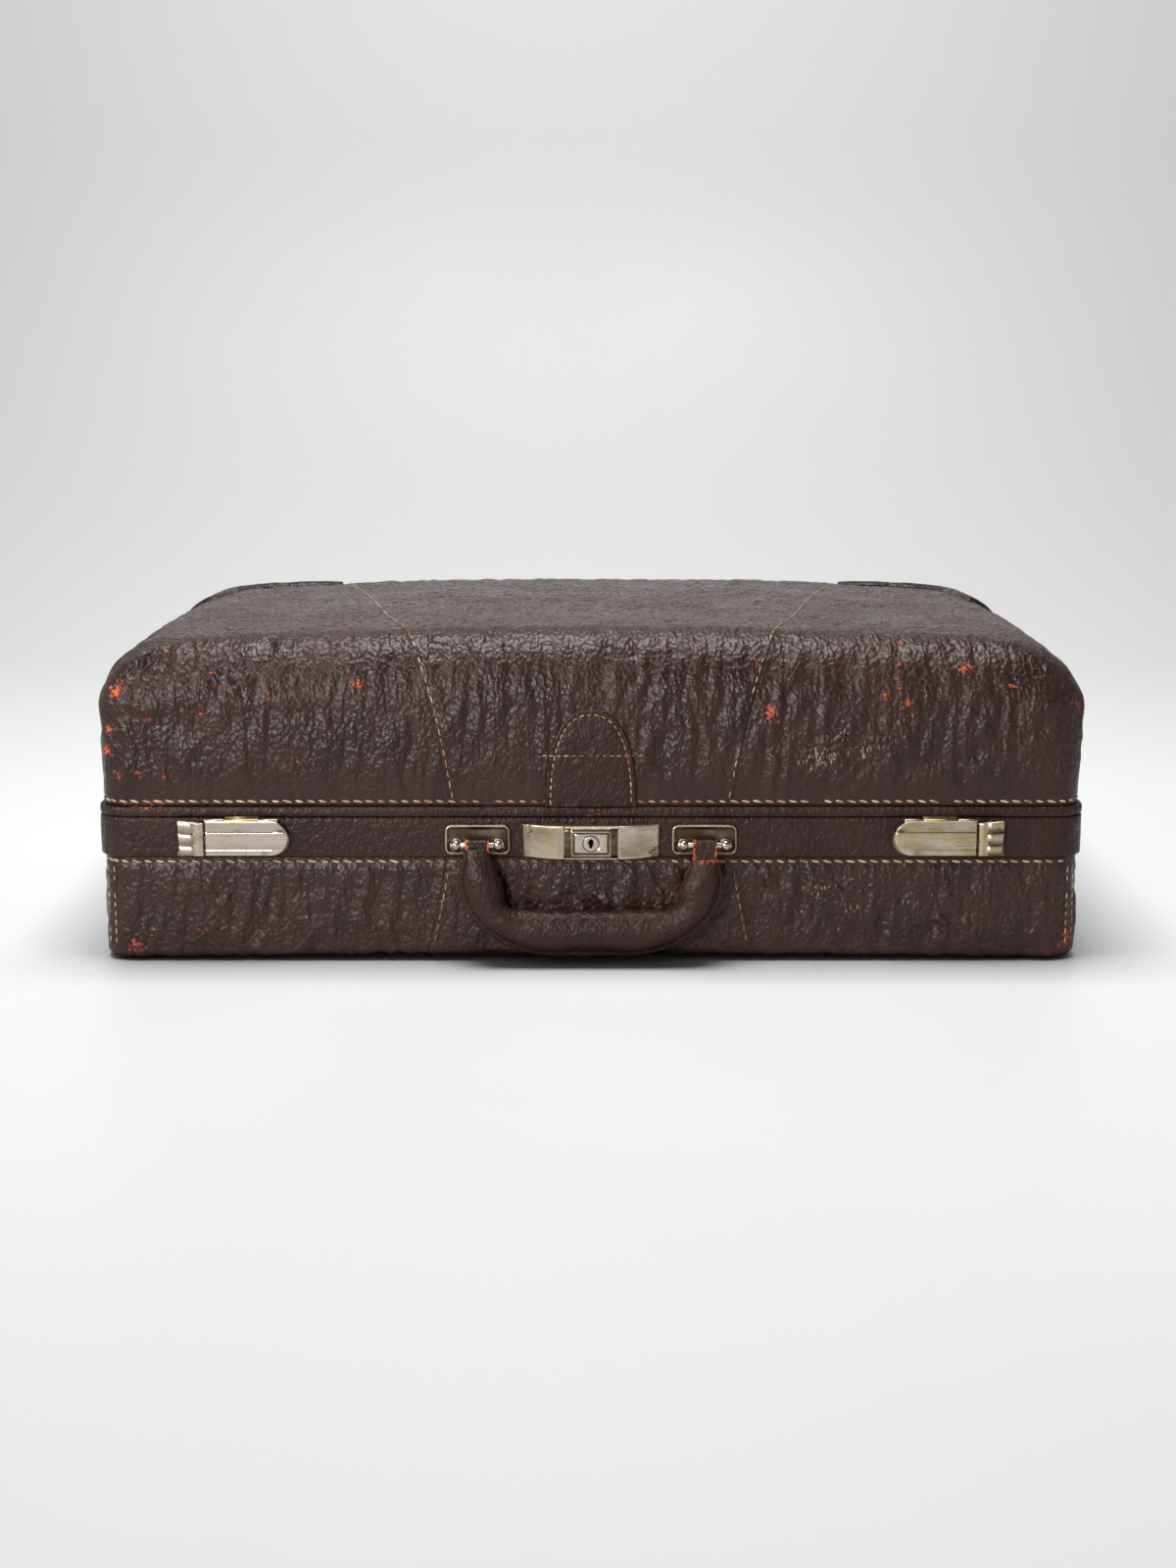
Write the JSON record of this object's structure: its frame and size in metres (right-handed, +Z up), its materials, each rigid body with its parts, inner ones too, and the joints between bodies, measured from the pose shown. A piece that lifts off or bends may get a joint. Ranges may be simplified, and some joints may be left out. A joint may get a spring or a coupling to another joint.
{
  "type": "suitcase",
  "caption": "Vintage leather suitcase lying flat, with a puffy hinged lid, sliding latches with hinged hasps, a keyed centre lock and a padded handle that swings on bars.",
  "frame": {"origin": "centre of the base's flat underside, on the floor", "axes": "+X along the width, to the right seen from the front; -Y toward the front with the handle; +Z up"},
  "size_m": [0.6124, 0.427, 0.205],
  "materials": {
    "grained_leather": "worn, grained",
    "smooth_leather": "smooth, waxed",
    "case_board": "matt",
    "rail_wood": "plain",
    "lining_cloth": "woven cotton",
    "plated_steel": "tarnished plate",
    "worn_brass": "worn"
  },
  "bodies": {
    "base": {"base_leather": "grained_leather", "base_board": "case_board", "base_front_board": "case_board", "base_rear_board": "case_board", "base_left_board": "case_board", "base_right_board": "case_board", "base_lining": "lining_cloth", "base_front_rail": "rail_wood", "base_rear_rail": "rail_wood", "base_left_rail": "rail_wood", "base_right_rail": "rail_wood", "base_band": "smooth_leather", "left_base_hinge": "plated_steel", "centre_base_hinge": "plated_steel", "right_base_hinge": "plated_steel", "hinge_pins": "plated_steel", "hinge_base_rivets": "worn_brass", "left_latch_plate": "plated_steel", "right_latch_plate": "plated_steel", "latch_rivets": "worn_brass", "left_latch_spring": "plated_steel", "right_latch_spring": "plated_steel", "lock_face": "plated_steel", "lock_escutcheon": "worn_brass", "lock_guide": "plated_steel", "left_handle_plate": "plated_steel", "right_handle_plate": "plated_steel", "handle_studs": "plated_steel", "left_handle_bar": "plated_steel", "right_handle_bar": "plated_steel"},
    "lid": {"lid_leather": "grained_leather", "lid_board": "case_board", "lid_lining": "lining_cloth", "lid_rail": "rail_wood", "lid_strip": "smooth_leather", "lid_tab": "smooth_leather", "lid_left_patch": "grained_leather", "lid_right_patch": "grained_leather", "left_lid_hinge": "plated_steel", "centre_lid_hinge": "plated_steel", "right_lid_hinge": "plated_steel", "hinge_lid_rivets": "worn_brass", "left_latch_leaf": "plated_steel", "right_latch_leaf": "plated_steel", "left_latch_pin": "worn_brass", "right_latch_pin": "worn_brass", "lock_hook": "plated_steel"},
    "hasp_left": {"left_hasp": "plated_steel"},
    "hasp_right": {"right_hasp": "plated_steel"},
    "slide_left": {"left_slide": "plated_steel"},
    "slide_right": {"right_slide": "plated_steel"},
    "plug": {"lock_plug": "worn_brass"},
    "bolt": {"lock_bolt": "plated_steel"},
    "handle": {"handle_grip": "smooth_leather", "left_handle_loop": "smooth_leather", "right_handle_loop": "smooth_leather"}
  },
  "joints": [
    {"name": "lid_hinge", "type": "hinge", "parent": "base", "child": "lid", "pos_m": [0, 0.2038, 0.09115], "axis": [-1, 0, 0], "range_deg": [0, 105]},
    {"name": "left_hasp_hinge", "type": "hinge", "parent": "lid", "child": "hasp_left", "pos_m": [-0.219, -0.203, 0.0891], "axis": [-1, 0, 0], "range_deg": [0, 110]},
    {"name": "right_hasp_hinge", "type": "hinge", "parent": "lid", "child": "hasp_right", "pos_m": [0.219, -0.203, 0.0891], "axis": [-1, 0, 0], "range_deg": [0, 110]},
    {"name": "left_slide_push", "type": "slide", "parent": "base", "child": "slide_left", "axis": [-1, 0, 0], "range_m": [0, 0.006], "stiffness_N_per_m": 150, "deforming": ["left_latch_spring"]},
    {"name": "right_slide_push", "type": "slide", "parent": "base", "child": "slide_right", "axis": [1, 0, 0], "range_m": [0, 0.006], "stiffness_N_per_m": 150, "deforming": ["right_latch_spring"]},
    {"name": "plug_turn", "type": "hinge", "parent": "base", "child": "plug", "pos_m": [0, -0.2064, 0.07685], "axis": [0, -1, 0], "range_deg": [0, 90]},
    {"name": "bolt_slide", "type": "slide", "parent": "base", "child": "bolt", "axis": [-1, 0, 0], "range_m": [0, 0.004]},
    {"name": "handle_swing", "type": "hinge", "parent": "base", "child": "handle", "pos_m": [0, -0.2074, 0.075], "axis": [-1, 0, 0], "range_deg": [0, 150]}
  ],
  "couplings": [
    {"joint": "bolt_slide", "follows": "plug_turn", "m_per_rad": 0.0025465}
  ]
}
